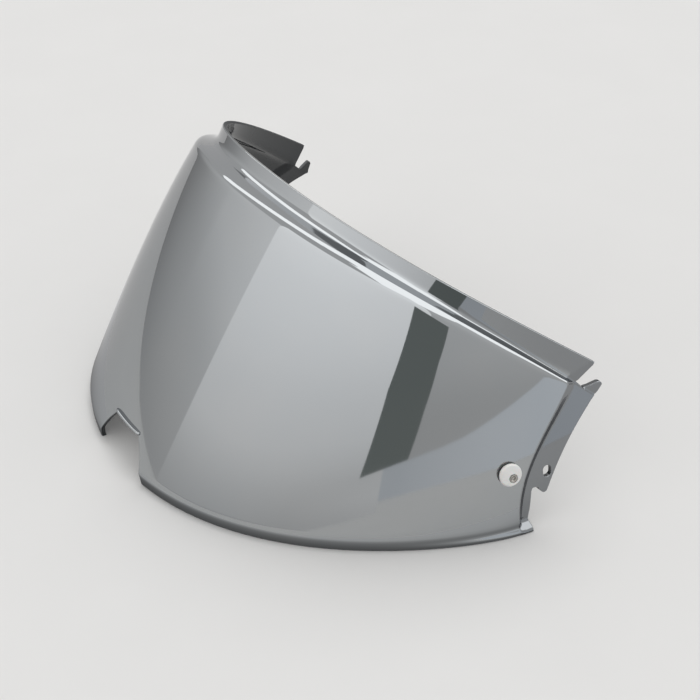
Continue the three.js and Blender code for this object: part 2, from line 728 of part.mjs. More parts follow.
function pin(side, sideName) {
  const angle = THREE.MathUtils.degToRad(SCREW_THROW_ANGLE) * side;
  const throwX = SCREW_THROW * Math.cos(angle);
  const throwY = SCREW_THROW * Math.sin(angle);
  const group = new THREE.Group();
  group.add(
    piece(`pin_cap_${sideName}`, capBody(throwX, throwY), whiteNylon),
    piece(`pin_seal_${sideName}`, sealBody(), clearSilicone),
    piece(`pin_screw_${sideName}`, screwBody(throwX, throwY), stainless),
    piece(`pin_stud_${sideName}`, studBody(throwX, throwY), whiteNylon),
  );
  group.applyMatrix4(pinPlace(side));
  return group;
}

const visor = new THREE.Group();
visor.add(piece("shield", shieldBody(), smokeMirror), pin(1, "left"), pin(-1, "right"));
visor.position.y = -new THREE.Box3().setFromObject(visor).getCenter(new THREE.Vector3()).y;

export default visor;
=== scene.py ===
# Visor for a full-face motorcycle helmet, standing on its lower edge: a mirror-coated shield, and
# on each side the eccentric pin that holds an inner anti-fog lens. The formulas are in millimetres
# and the meshes in metres, with x to the wearer's left, y to the rear and z up.
import json

import bpy
import numpy as np
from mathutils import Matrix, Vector

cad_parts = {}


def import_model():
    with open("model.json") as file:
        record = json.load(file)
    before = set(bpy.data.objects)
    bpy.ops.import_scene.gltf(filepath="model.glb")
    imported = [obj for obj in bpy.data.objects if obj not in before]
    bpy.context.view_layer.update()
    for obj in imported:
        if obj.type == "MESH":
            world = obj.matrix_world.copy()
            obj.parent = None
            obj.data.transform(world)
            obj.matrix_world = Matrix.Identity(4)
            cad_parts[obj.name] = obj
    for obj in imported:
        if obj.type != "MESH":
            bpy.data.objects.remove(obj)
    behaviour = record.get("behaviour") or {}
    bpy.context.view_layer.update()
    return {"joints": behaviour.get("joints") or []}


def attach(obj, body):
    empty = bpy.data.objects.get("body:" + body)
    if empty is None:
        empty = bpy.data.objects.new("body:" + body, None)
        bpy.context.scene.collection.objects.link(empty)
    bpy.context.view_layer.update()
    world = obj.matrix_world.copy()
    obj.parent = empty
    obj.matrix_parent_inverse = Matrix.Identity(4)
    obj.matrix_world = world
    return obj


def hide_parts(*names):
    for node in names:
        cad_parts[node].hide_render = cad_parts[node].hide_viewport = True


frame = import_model()

MM = 0.001


# Shield: one shell of polycarbonate, injection moulded 2.2 mm thick and dyed smoke grey, with a
# mirror coat under a hard coat on its outside. Ridge, groove, fixing plates and drip lip are
# moulded in, and its trimmed edges are lightly rounded.
WALL, EDGE_RADIUS = 2.2, 0.45
FOOT_HALF_WIDTH, FOOT_DEPTH = 129.4, 123.2
RIM_HALF_WIDTH, RIM_SETBACK, RIM_DEPTH = 116.4, 71.3, 89.0
RIM_FRONT_HEIGHT, RIM_REAR_HEIGHT, RIM_BOW = 120.7, 60.7, 1.1
RIM_END_DEPTH = RIM_SETBACK + RIM_DEPTH
PANE_SWELL, PANE_REAR_SWELL, LOWER_HANDLE, UPPER_HANDLE = 3.1, 1.4, 0.41, 0.25
RIDGE_RADIUS, GROOVE_RADIUS, GROOVE_DROP = 2.6, 2.4, 1.5
FOOT_ROLL_HEIGHT, FOOT_ROLL_OUT, LIP_REACH = 5.5, 0.7, 1.4
STEP_WIDTH, STEP_FOOT_DEPTH, PLATE_SPARE = 7.5, 3.4, 14
SEAM_FOOT_HEIGHT, SEAM_HEAD_HEIGHT = 8, RIM_REAR_HEIGHT - 7.5
SEAM_FOOT_DEPTH, SEAM_HEAD_DEPTH = FOOT_DEPTH - 6.7, RIM_END_DEPTH - 15.3

# Depths are counted from the front of the foot, and the frame's origin lies this far behind it.
CENTRE_DEPTH = 82.338

# Plan curves: half width, depth of the front and of the rear end, reach of the handle at the front
# and at the rear, and how far the rear handle stands in.
FOOT_CURVE = (FOOT_HALF_WIDTH, 0, FOOT_DEPTH, 98.4, 21.1, -1.8)
RIM_CURVE = (RIM_HALF_WIDTH, RIM_SETBACK, RIM_END_DEPTH, 69.4, 50.6, 14)

# At the front, halfway round and at the rear: how far the ridge stands outside the groove and lies
# below the rim, and how far the rim leans inside the groove.
RIDGE_OUT, RIDGE_DROP, RIM_IN = (10.4, 7, 1.8), (4.4, 7.1, 15.1), (3.8, 2.6, -0.2)


def cubic(a, b, c, d, t):
    """Curve from a to d: each of the four points times its share of (t and 1 - t) cubed."""
    s = 1 - t
    return s**3 * a + 3 * s * s * t * b + 3 * s * t * t * c + t**3 * d


def bend(a, corner, b, t):
    """Curve from a to b drawn towards a corner: the three weighted by (t and 1 - t) squared."""
    s = 1 - t
    return s * s * a + 2 * s * t * corner + t * t * b


def fade(value, start, end):
    """S-curve from 0 at start to 1 at end: three times the share's square less twice its cube."""
    t = np.clip((value - start) / (end - start), 0, 1)
    return t * t * (3 - 2 * t)


def ramp(t, rounding=0.25):
    """Straight ramp from 0 to 1 with a parabola over the same share of its length at both ends."""
    t = np.clip(t, 0, 1)
    slope = 1 / (1 - rounding)
    low = slope * t * t / (2 * rounding)
    high = 1 - slope * (1 - t) ** 2 / (2 * rounding)
    straight = slope * (t - rounding / 2)
    return np.where(t < rounding, low, np.where(t > 1 - rounding, high, straight))


def graded(front, halfway, rear, t):
    """Parabola through three sizes, at the front, halfway round and at the rear."""
    return bend(front, 2 * halfway - (front + rear) / 2, rear, t)


def unit(v):
    """Each vector divided by its length."""
    return v / np.maximum(np.linalg.norm(v, axis=-1, keepdims=True), 1e-12)


def plan(share, half_width, front, rear, front_handle, rear_handle, rear_inset):
    """Plan curve from the middle of the front to the rear end and straight on past it, as a cubic
    of its ends and handles, and its outward side, square to the way along."""
    t = np.clip(share, 0, 1)[..., None]
    a = np.array([0.0, front])
    b = np.array([front_handle, front])
    c = np.array([half_width - rear_inset, rear - rear_handle])
    d = np.array([half_width, rear])
    along = unit(bend(b - a, c - b, d - c, t))
    point = cubic(a, b, c, d, t) + along * np.maximum(share - 1, 0)[..., None] * FOOT_DEPTH
    level = np.zeros_like(share)
    outward = np.stack([along[..., 1], -along[..., 0], level], -1)
    return np.concatenate([point, level[..., None]], -1), outward


def raised(point, height):
    """The same point in plan, at that height."""
    height = np.broadcast_to(height, point.shape[:-1])[..., None]
    return np.concatenate([point[..., :2], height], -1)


def lip_share(place):
    """Drip lip's bulge up the foot: a cubic between each two of five shares, with set slopes."""
    shares = np.array([0.85, 1.0, 0.8, 0.0, 0.0])
    slopes = np.array([0.2, 0.0, -0.35, 0.0, 0.0])
    at = np.clip(place, 0, 1) * 4
    low = np.minimum(at.astype(int), 3)
    t = at - low
    start = (1 + 2 * t) * (1 - t) ** 2 * shares[low] + t * (1 - t) ** 2 * slopes[low]
    return start + t * t * (3 - 2 * t) * shares[low + 1] + t * t * (t - 1) * slopes[low + 1]


def skin(place, share, step, with_lip):
    """Outer skin. place runs up the section: 0 to 1 foot roll, to 2 pane, to 3 ridge, to 4 shelf,
    to 5 groove, to 6 rim band. The roll is a quarter ellipse, the pane a cubic, ridge and groove
    are bends, and shelf and band straight. share runs round from the front, and step is how far
    the wall has stepped in."""
    round_share = np.clip(share, 0, 1)
    foot, foot_out = plan(share, *FOOT_CURVE)
    rim, rim_out = plan(share, *RIM_CURVE)

    back = (rim[..., 1] - RIM_SETBACK) / RIM_DEPTH
    rim_slope = (RIM_REAR_HEIGHT - RIM_FRONT_HEIGHT) * back
    rim_height = RIM_FRONT_HEIGHT + rim_slope + 4 * RIM_BOW * back * (1 - back)
    ridge_out = graded(*RIDGE_OUT, round_share)
    ridge_height = rim_height - graded(*RIDGE_DROP, round_share)
    top = raised(rim - rim_out * graded(*RIM_IN, round_share)[..., None], rim_height)
    ridge = raised(rim + rim_out * ridge_out[..., None], ridge_height)
    groove = raised(rim, ridge_height - GROOVE_DROP * (1 - round_share))

    roll = FOOT_ROLL_OUT * (1 - round_share)
    start = raised(foot + foot_out * roll[..., None], FOOT_ROLL_HEIGHT)
    swell = foot_out * (PANE_SWELL + PANE_REAR_SWELL * round_share)[..., None]
    lower = start + (ridge - start) * LOWER_HANDLE + swell
    upper = ridge + (start - ridge) * UPPER_HANDLE + swell

    def reached(corner, other, radius):
        """Point on the way from a corner to another, a radius off or halfway at most."""
        leg = other - corner
        length = np.linalg.norm(leg, axis=-1, keepdims=True)
        return corner + leg * np.minimum(radius, length / 2) / length

    upper_leg = np.linalg.norm(ridge - upper, axis=-1, keepdims=True)
    pane_end = 1 - RIDGE_RADIUS / (3 * upper_leg)
    to_ridge = cubic(start, lower, upper, ridge, pane_end)
    from_ridge = reached(ridge, groove, RIDGE_RADIUS)
    to_groove = reached(groove, ridge, GROOVE_RADIUS)
    from_groove = reached(groove, top, GROOVE_RADIUS)

    def part(low):
        """Share of the zone that starts at that place, from 0 to 1."""
        return np.clip(place - low, 0, 1)[..., None]

    turn = part(0)[..., 0] * np.pi / 2
    roll_height = FOOT_ROLL_HEIGHT * (1 - np.cos(turn))
    zones = [
        raised(foot + foot_out * (roll * np.sin(turn))[..., None], roll_height),
        cubic(start, lower, upper, ridge, part(1) * pane_end),
        bend(to_ridge, ridge, from_ridge, part(2)),
        from_ridge + (to_groove - from_ridge) * part(3),
        bend(to_groove, groove, from_groove, part(4)),
        from_groove + (top - from_groove) * part(5),
    ]
    point = np.choose(np.clip(place.astype(int), 0, 5)[..., None], zones)

    # The step is full up to the ridge, half as deep over the shelf, and ends at the groove.
    step_depth = ridge_out + (STEP_FOOT_DEPTH - ridge_out) * np.clip(2 - place, 0, 1)
    step_in = step_depth * np.interp(place, [0, 2, 3, 4, 5, 6], [1, 1, 0.5, 0.5, 0, 0]) * step
    point = point - rim_out * step_in[..., None]
    if with_lip:
        lip = lip_share(place) * (LIP_REACH * fade(share, 0.5, 1) + step_in)
        point = point + foot_out * lip[..., None]
    return point


def seam_behind(point):
    """How far a point lies behind the seam, whose depth grows with the square of the height."""
    seam_height = SEAM_HEAD_HEIGHT - SEAM_FOOT_HEIGHT
    rise = np.maximum(0, (point[..., 2] - SEAM_FOOT_HEIGHT) / seam_height)
    seam_depth = SEAM_FOOT_DEPTH + (SEAM_HEAD_DEPTH - SEAM_FOOT_DEPTH) * rise * rise
    return point[..., 1] - seam_depth


def halving(low, high, is_before, rounds):
    """Narrows a range to where is_before ends: each round its middle replaces one of its ends."""
    for _ in range(rounds):
        halfway = (low + high) / 2
        before = is_before(halfway)
        low, high = np.where(before, halfway, low), np.where(before, high, halfway)
    return low, high


def seam_share(place):
    """Share round the section at which a row crosses the seam, which rows above the ridge keep."""
    row = np.minimum(place, 2)
    none = np.zeros_like(row)

    def ahead(share):
        """Whether the point at that share lies ahead of the seam."""
        return seam_behind(skin(row, share, none, False)) < 0

    return halving(none, none + 1, ahead, 50)[0]


def laid_out(place, column):
    """Share and step of a column: 0 to 1 from the front to the seam, to 2 across the step, and to
    3 over the plate, each in proportion, with the step as a ramp."""
    seam = seam_share(place)
    step_end = seam + STEP_WIDTH / (FOOT_DEPTH + FOOT_HALF_WIDTH)
    plate_end = 1 + PLATE_SPARE / FOOT_DEPTH
    seam, step_end, place = np.broadcast_arrays(seam[:, None], step_end[:, None], place[:, None])
    column = np.broadcast_to(column, (len(place), len(column)))
    pane = seam * np.clip(column, 0, 1)
    across = (step_end - seam) * np.clip(column - 1, 0, 1)
    plate = (plate_end - step_end) * np.clip(column - 2, 0, 1)
    return np.broadcast_to(place, column.shape), pane + across + plate, ramp(column - 1)


def skin_sides(place, column, with_lip):
    """Points of the skin, its direction up the section, and its outward normal, which is square to
    the small steps up and down and ahead and behind."""
    nudge = 1e-3
    up = skin(*laid_out(np.minimum(place + nudge, 6), column), with_lip)
    down = skin(*laid_out(np.maximum(place - nudge, 0), column), with_lip)
    ahead = skin(*laid_out(place, np.minimum(column + nudge, 3)), with_lip)
    behind = skin(*laid_out(place, np.maximum(column - nudge, 0)), with_lip)
    normal = unit(np.cross(ahead - behind, up - down))
    normal[:, 0, 0] = 0
    return skin(*laid_out(place, column), with_lip), unit(up - down), unit(normal)


def softened(normal, point, reach):
    """Normals averaged up and down each column, weighted by a bell curve of the distance along the
    skin, and each point's distance along the skin from the rim."""
    steps = np.linalg.norm(np.diff(point, axis=0), axis=-1)
    along = np.concatenate([np.zeros((1, point.shape[1])), np.cumsum(steps, axis=0)])
    weight = np.exp(-(((along[:, None] - along[None]) / reach) ** 2) / 2)
    weight *= np.gradient(along, axis=0)[None] + 1e-6
    return unit(np.einsum("ijc,jcx->icx", weight, normal)), along[-1] - along


# Rows up the section and columns round it, close together where the skin turns.
place = np.concatenate([
    np.linspace(0, 1, 12)[:-1], 1 + np.linspace(0, 1, 57)[:-1], 2 + np.linspace(0, 1, 9),
    4 + np.linspace(0, 1, 9), 5 + np.linspace(0, 1, 8)[1:],
])
column = np.concatenate([
    np.linspace(0, 1, 101)[:-1], 1 + np.linspace(0, 1, 15)[:-1], 2 + np.linspace(0, 1, 47),
])
plain, _, plain_normal = skin_sides(place, column, False)
outside, upward, outside_normal = skin_sides(place, column, True)
wall_normal, _ = softened(plain_normal, plain, 2.0)
wall_normal[..., 2] *= fade(plain[..., 2], 0, 3)
wall_normal = unit(wall_normal)
outside_normal, from_rim = softened(outside_normal, outside, 0.5)

# The wall is crossed along the cuts: straight from side to side at the rear, straight back at the
# notch, and along the pin's axis round its hole. Everywhere the inner skin lies the wall's
# thickness in.
pin_joints = {joint["name"]: joint for joint in frame["joints"]}
pin_foot = np.array(pin_joints["pin_left_turn"]["pos_m"]) / MM + [0, CENTRE_DEPTH, 0]
pin_axis = unit(np.array(pin_joints["pin_left_turn"]["axis"]))
from_pin = np.linalg.norm(np.cross(plain - pin_foot, pin_axis), axis=-1)
at_rear = fade(plain[..., 1], 60, 110)
at_notch = fade(plain[..., 0], 45, 25) * fade(plain[..., 2], 40, 22)
at_pin = fade(from_pin, 11, 5)
crossed = wall_normal
for way, there in (([1.0, 0, 0], at_rear), ([0, -1.0, 0], at_notch), (pin_axis, at_pin)):
    crossed = unit(crossed + (np.array(way) - crossed) * there[..., None])
inside = plain - crossed * (WALL / (crossed * wall_normal).sum(-1, keepdims=True))
inside[:, 0, 0] = 0

# Each point carries its outer and inner place, both normals, the way up, and the distance from the
# rim, so that a cut through an edge shares them all out.
OUTER, INNER, OUTER_NORMAL, INNER_NORMAL = slice(3), slice(3, 6), slice(6, 9), slice(9, 12)
UPWARD, FROM_RIM = slice(12, 15), 15
skin_data = np.concatenate([
    outside, inside, outside_normal, wall_normal, upward, from_rim[..., None],
], -1).reshape(-1, FROM_RIM + 1)


def grid_corners(rows, sides, closed_rows=False, closed_sides=False):
    """Corners of each square of a grid: its own point, a side on, a row and a side on, a row on."""
    row = np.arange(rows if closed_rows else rows - 1)[:, None]
    side = np.arange(sides if closed_sides else sides - 1)
    next_row, next_side = (row + 1) % rows, (side + 1) % sides
    corners = (row, side), (row, next_side), (next_row, next_side), (next_row, side)
    return [(r * sides + s).reshape(-1) for r, s in corners]


def triangles(a, b, c, d):
    """Two triangles for each four corners, on either side of the line from a to c."""
    return np.concatenate([np.stack([a, b, c], -1), np.stack([a, c, d], -1)])


def unshrunk(faces):
    """The triangles whose three corners are three different points."""
    a, b, c = faces.T
    return faces[(a != b) & (b != c) & (c != a)]


skin_faces = triangles(*grid_corners(len(place), len(column)))
_, first, same = np.unique(
    np.round(skin_data[:, OUTER], 5), axis=0, return_index=True, return_inverse=True,
)
skin_faces = unshrunk(first[same.reshape(-1)][skin_faces])

NOTCH_HALF_WIDTH, NOTCH_HEIGHT = 19.9, 17.5
TIP_RADIUS, EDGE_HOLLOW = 1.7, 8.2
SLOT_HEIGHT, SLOT_INSET, SLOT_HALF_STRAIGHT, SLOT_RADIUS = 22.6, 4.1, 0.6, 1.8
PIN_HOLE_RADIUS = 3.6


def arc(x, y, radius, start, end, count=14):
    """Points at even angles, in degrees, round a centre: the radius times cosine and sine."""
    angle = np.radians(np.linspace(start, end, count))
    return np.stack([x + radius * np.cos(angle), y + radius * np.sin(angle)], -1)


def outline_distance(point, outline):
    """Distance from a closed outline, positive outside it: to the nearest of its edges, with the
    sign from how often a line to the right crosses it."""
    a, b = outline, np.roll(outline, -1, axis=0)
    edge = b - a
    offset = point[:, None] - a
    t = np.clip((offset * edge).sum(-1) / np.maximum((edge * edge).sum(-1), 1e-12), 0, 1)
    distance = np.linalg.norm(offset - t[..., None] * edge, axis=-1).min(1)
    rising = (a[:, 1] > point[:, None, 1]) != (b[:, 1] > point[:, None, 1])
    height = np.where(b[:, 1] == a[:, 1], 1, b[:, 1] - a[:, 1])
    crossing = a[:, 0] + (point[:, None, 1] - a[:, 1]) * edge[:, 0] / height
    inside_it = (rising & (point[:, None, 0] < crossing)).sum(1) % 2 == 1
    return np.where(inside_it, -distance, distance)


# What is cut away behind the shield, as depth and height: the rim band's end, the V cut, the hook
# with its round tip, the hollow edge, the tail's round end, and down past the drip lip.
tail = np.array([FOOT_DEPTH + 8.2, 15.0])
heel = np.array([RIM_END_DEPTH + 1.6, RIM_REAR_HEIGHT - 15.5])
edge_along = unit(heel - tail)
edge_outward = np.array([edge_along[1], -edge_along[0]])
tail_head = tail + TIP_RADIUS * edge_outward
waist = (heel + tail_head) / 2 - EDGE_HOLLOW * edge_outward
bend_steps = np.linspace(0, 1, 40)[:, None]
plate_edge = bend(heel, waist, tail_head, bend_steps)
tail_turn = np.degrees(np.arctan2(edge_outward[1], edge_outward[0]))
rear_outline = np.concatenate([
    [[200.0, RIM_REAR_HEIGHT + 5], [RIM_END_DEPTH + 4.44, RIM_REAR_HEIGHT + 5]],
    [[RIM_END_DEPTH - 7.2, RIM_REAR_HEIGHT - 8.1], [RIM_END_DEPTH - 3.8, RIM_REAR_HEIGHT - 11.7]],
    arc(RIM_END_DEPTH + 2, RIM_REAR_HEIGHT - 11.3, TIP_RADIUS, 120, 0),
    plate_edge,
    arc(*tail, TIP_RADIUS, tail_turn, -135),
    bend(np.array([128.3, 15.8]), np.array([128.3, 17]), np.array([127.1, 17]), bend_steps[::6]),
    [[FOOT_DEPTH + 2.6, 17.0], [FOOT_DEPTH + 2, 15.8], [FOOT_DEPTH, 0.0], [FOOT_DEPTH, -5.0]],
    [[200.0, -5.0]],
])

# The finger notch from the front, with flanks that lean in towards its flat top.
notch_outline = np.concatenate([
    [[-30.0, -5.0], [NOTCH_HALF_WIDTH, -5.0]],
    bend(
        np.array([NOTCH_HALF_WIDTH, 0]), np.array([NOTCH_HALF_WIDTH, 7.5]),
        np.array([10.4, NOTCH_HEIGHT]), bend_steps,
    ),
    [[-30.0, NOTCH_HEIGHT]],
])
slot_depth = np.interp(SLOT_HEIGHT, plate_edge[::-1, 1], plate_edge[::-1, 0]) - SLOT_INSET


def from_edges(data):
    """Distance of a point of the skin from the nearest edge, in edge radii, negative where it is
    cut away: the least of those from the rim and foot, from the rear outline and slot seen from
    the side, from the notch seen from the front, and from the pin's hole round its axis. The two
    outlines are measured only for points near them."""
    point = data[:, OUTER]
    nearest = np.minimum(data[:, FROM_RIM], point[:, 2])
    rear = point[:, 1] > FOOT_DEPTH - 6
    if rear.any():
        side_view = point[rear, 1:3]
        nearest[rear] = np.minimum(nearest[rear], outline_distance(side_view, rear_outline))
        across = side_view[:, 0] - slot_depth
        along = np.maximum(np.abs(side_view[:, 1] - SLOT_HEIGHT) - SLOT_HALF_STRAIGHT, 0)
        nearest[rear] = np.minimum(nearest[rear], np.hypot(across, along) - SLOT_RADIUS)
    front = (point[:, 0] < 28) & (point[:, 2] < 26) & (point[:, 1] < 40)
    if front.any():
        notch = outline_distance(point[front][:, [0, 2]], notch_outline)
        nearest[front] = np.minimum(nearest[front], notch)
    hole = np.linalg.norm(np.cross(point - pin_foot, pin_axis), axis=-1) - PIN_HOLE_RADIUS
    return np.minimum(nearest, hole) / EDGE_RADIUS


def split(data, faces, share_of):
    """Cuts edges of the triangles at the shares that share_of gives (NaN for none) and fills in
    with triangles: two for one cut edge, three for two, four for three."""
    ends = faces[:, [0, 1, 1, 2, 2, 0]].reshape(-1, 2)
    key = np.sort(ends, axis=1) @ np.array([len(data), 1])
    key, back = np.unique(key, return_inverse=True)
    a, b = key // len(data), key % len(data)
    share = share_of(data[a], data[b])
    cut = ~np.isnan(share)
    halfway = np.full(len(key), -1)
    halfway[cut] = len(data) + np.arange(cut.sum())
    t = share[cut, None]
    data = np.concatenate([data, data[a[cut]] * (1 - t) + data[b[cut]] * t])
    halfway = halfway[back.reshape(-1)].reshape(-1, 3)
    count = (halfway >= 0).sum(1)

    def led_by(rows, lead):
        """Corners and cut points of some triangles, in the order that starts at a given corner."""
        order = (lead[:, None] + np.arange(3)) % 3
        return [np.take_along_axis(given[rows], order, 1).T for given in (faces, halfway)]

    one, two, three = (count == number for number in (1, 2, 3))
    (a1, b1, c1), (m1, _, _) = led_by(one, np.argmax(halfway[one] >= 0, 1))
    (a2, b2, c2), (m2, n2, _) = led_by(two, (np.argmax(halfway[two] < 0, 1) + 1) % 3)
    (a3, b3, c3), (m3, n3, o3) = led_by(three, np.zeros(three.sum(), int))
    parts = [
        (a1, m1, c1), (m1, b1, c1),
        (m2, b2, n2), (a2, m2, n2), (a2, n2, c2),
        (a3, m3, o3), (m3, b3, n3), (o3, n3, c3), (m3, n3, o3),
    ]
    return data, np.concatenate([faces[count == 0]] + [np.stack(p, -1) for p in parts])


def halved_near_edges(a, b):
    """Half, for edges over 0.7 mm that lie within 1.2 mm of a cut, apart from the rim and foot."""
    long_edge = np.linalg.norm(a[:, OUTER] - b[:, OUTER], axis=-1) > 0.7
    near = np.minimum(np.abs(from_edges(a)), np.abs(from_edges(b))) < 1.2 / EDGE_RADIUS
    at_rim = np.minimum(a[:, FROM_RIM], b[:, FROM_RIM]) < 1.5
    at_foot = np.minimum(a[:, 2], b[:, 2]) < 1.2
    return np.where(long_edge & near & ~(at_rim | at_foot), 0.5, np.nan)


def crossed_at(level):
    """For split: the share along each edge at which the distance from the shield's edge passes a
    level, found by halving."""
    def share_of(a, b):
        """That share, and NaN for an edge that doesn't pass the level."""
        at_a, at_b = from_edges(a) - level, from_edges(b) - level
        passes = (at_a * at_b < 0) & (np.abs(at_a) > 0.03) & (np.abs(at_b) > 0.03)
        share = np.full(len(a), np.nan)
        a, b, rising = a[passes], b[passes], at_a[passes] < 0

        def before(halfway):
            """Whether the level still lies ahead at that share."""
            value = from_edges(a * (1 - halfway[:, None]) + b * halfway[:, None]) - level
            return (value < 0) == rising

        low, high = halving(np.zeros(len(a)), np.ones(len(a)), before, 12)
        share[passes] = (low + high) / 2
        return share
    return share_of


# The skin is cut along its edges and along the rows of their roundings.
for _ in range(2):
    skin_data, skin_faces = split(skin_data, skin_faces, halved_near_edges)
for level in (0, 0.06, 0.22, 0.5, 1):
    skin_data, skin_faces = split(skin_data, skin_faces, crossed_at(level))
    if level == 0:
        skin_faces = skin_faces[from_edges(skin_data[skin_faces].mean(1)) > 0]
used, skin_faces = np.unique(skin_faces, return_inverse=True)
skin_data, skin_faces = skin_data[used], skin_faces.reshape(-1, 3)

# Rounded edges: near an edge both skins draw together along a quarter circle.
edge_distance = from_edges(skin_data)
away = np.clip(edge_distance, 0, 1)
drawn_in = (EDGE_RADIUS * (1 - np.sqrt(1 - (1 - away) ** 2)))[:, None]
through = unit(skin_data[:, INNER] - skin_data[:, OUTER])
outer_points = skin_data[:, OUTER] + through * drawn_in
inner_points = skin_data[:, INNER] - through * drawn_in
outer_normals = unit(skin_data[:, OUTER_NORMAL])
inner_normals = -unit(skin_data[:, INNER_NORMAL])
edge_out = np.zeros_like(outer_points)
for axis in range(3):
    nudged = np.zeros(FROM_RIM + 1)
    nudged[axis] = 0.01
    edge_out[:, axis] = from_edges(skin_data - nudged) - from_edges(skin_data + nudged)
at_rim = skin_data[:, FROM_RIM] / EDGE_RADIUS <= edge_distance + 1e-6
edge_out[at_rim] = skin_data[at_rim, UPWARD]
edge_out -= outer_normals * (edge_out * outer_normals).sum(-1, keepdims=True)
tilt = (1 - away)[:, None]
level_part = np.sqrt(1 - tilt**2)
outer_normals = unit(outer_normals * level_part + unit(edge_out) * tilt)
inner_normals = unit(inner_normals * level_part + unit(edge_out) * tilt)

# Wall: the outer skin, the inner skin turned round, and strips between them along the free edges.
count = len(skin_data)
ends = skin_faces[:, [0, 1, 1, 2, 2, 0]].reshape(-1, 2)
key = np.sort(ends, axis=1) @ np.array([count, 1])
_, first, times = np.unique(key, return_index=True, return_counts=True)
free = ends[first[times == 1]]
free = free[(skin_data[free, 0] > 1e-6).any(1)]
a, b = free.T
half_points = np.concatenate([outer_points, inner_points])
half_normals = np.concatenate([outer_normals, inner_normals])
half_faces = np.concatenate([
    skin_faces, skin_faces[:, ::-1] + count,
    np.stack([b, a, a + count], -1), np.stack([b, a + count, b + count], -1),
])
half_smoke = np.arange(len(half_faces)) >= len(skin_faces)

# The wearer's right is the left mirrored, and the two share the points in the middle plane.
in_middle = half_points[:, 0] < 1e-6
half_points[in_middle, 0] = 0
half_normals[in_middle, 0] = 0
twin = np.where(in_middle, np.arange(2 * count), 2 * count + np.cumsum(~in_middle) - 1)
flip = np.array([-1, 1, 1])
shield_points = np.concatenate([half_points, half_points[~in_middle] * flip])
shield_normals = np.concatenate([half_normals, half_normals[~in_middle] * flip])
shield_faces = np.concatenate([half_faces, twin[half_faces][:, ::-1]])
shield_smoke = np.concatenate([half_smoke, half_smoke])

# Painted shade in the mirror coat: its colour turns darker on the fixing plates behind the seam,
# and on the band along the rim, 6 mm wide at the front and 12 mm at the rear, towards the rear. It
# stands in for darker reflections there, not for a thinner coat.
behind_seam = fade(seam_behind(skin_data[:, OUTER]), 0, 1.2)
towards_rear = fade(skin_data[:, 1], 60, 150)
in_band = fade(6 + 6 * towards_rear - skin_data[:, FROM_RIM], 0, 2)
painted_coat_shade = np.maximum(behind_seam, 0.85 * in_band * towards_rear)
painted_coat_shade = np.concatenate([painted_coat_shade, 0 * painted_coat_shade])
painted_coat_shade = np.concatenate([painted_coat_shade, painted_coat_shade[~in_middle]]).astype(np.float32)


def mesh_object(name, points, faces, materials, smoke=None, normals=None):
    """An object whose place is in its mesh, with smooth faces and, where given, its own normals.
    Its points come in millimetres, and faces marked as smoke take the second material."""
    mesh = bpy.data.meshes.new(name)
    mesh.from_pydata(points * MM, [], faces)
    for material in materials:
        mesh.materials.append(material)
    if smoke is not None:
        mesh.polygons.foreach_set("material_index", smoke.astype(np.int32))
    mesh.shade_smooth()
    if normals is not None:
        mesh.normals_split_custom_set_from_vertices(normals)
    piece = bpy.data.objects.new(name, mesh)
    bpy.context.collection.objects.link(piece)
    return piece


def node(tree, kind, settings=None, **inputs):
    """A node of that kind in a node tree, with its settings and the values of its named inputs."""
    made = tree.nodes.new(kind)
    for key, value in (settings or {}).items():
        setattr(made, key, value)
    for key, value in inputs.items():
        made.inputs[key.replace("_", " ")].default_value = value
    return made


def handling_marks():
    """Group: faint uneven haze and fine scuffs, as masks from 0 to 1. Each is a noise of its own
    size times the scale, of which the part between two levels is stretched to the full range."""
    group = bpy.data.node_groups.new("handling marks", "ShaderNodeTree")
    for name, in_out in (("Scale", "INPUT"), ("Haze", "OUTPUT"), ("Scuff", "OUTPUT")):
        group.interface.new_socket(name, in_out=in_out, socket_type="NodeSocketFloat")
    given = group.nodes.new("NodeGroupInput")
    result = group.nodes.new("NodeGroupOutput")
    place_on = group.nodes.new("ShaderNodeTexCoord")
    link = group.links.new
    for output, size, detail, low, high in (
        ("Haze", 16, 3, 0.42, 0.72),
        ("Scuff", 700, 4, 0.58, 0.8),
    ):
        scaled = node(group, "ShaderNodeMath", {"operation": "MULTIPLY"})
        scaled.inputs[1].default_value = size
        noise = node(group, "ShaderNodeTexNoise", None, Detail=detail)
        band = node(group, "ShaderNodeMapRange", None, From_Min=low, From_Max=high)
        link(given.outputs["Scale"], scaled.inputs[0])
        link(scaled.outputs[0], noise.inputs["Scale"])
        link(place_on.outputs["Object"], noise.inputs["Vector"])
        link(noise.outputs["Fac"], band.inputs["Value"])
        link(band.outputs["Result"], result.inputs[output])
    return group


marks = handling_marks()


def between(mask, low, high, target):
    """Feeds a socket with a value or colour that goes straight from low to high as the mask goes
    from 0 to 1."""
    tree = target.id_data
    if isinstance(low, tuple):
        mixed = node(tree, "ShaderNodeMix", {"data_type": "RGBA"})
        amount, first_colour, second_colour = (mixed.inputs[number] for number in (0, 6, 7))
        first_colour.default_value, second_colour.default_value = (*low, 1), (*high, 1)
        tree.links.new(mask, amount)
        tree.links.new(mixed.outputs[2], target)
    else:
        mixed = node(tree, "ShaderNodeMapRange", None, To_Min=low, To_Max=high)
        tree.links.new(mask, mixed.inputs["Value"])
        tree.links.new(mixed.outputs["Result"], target)


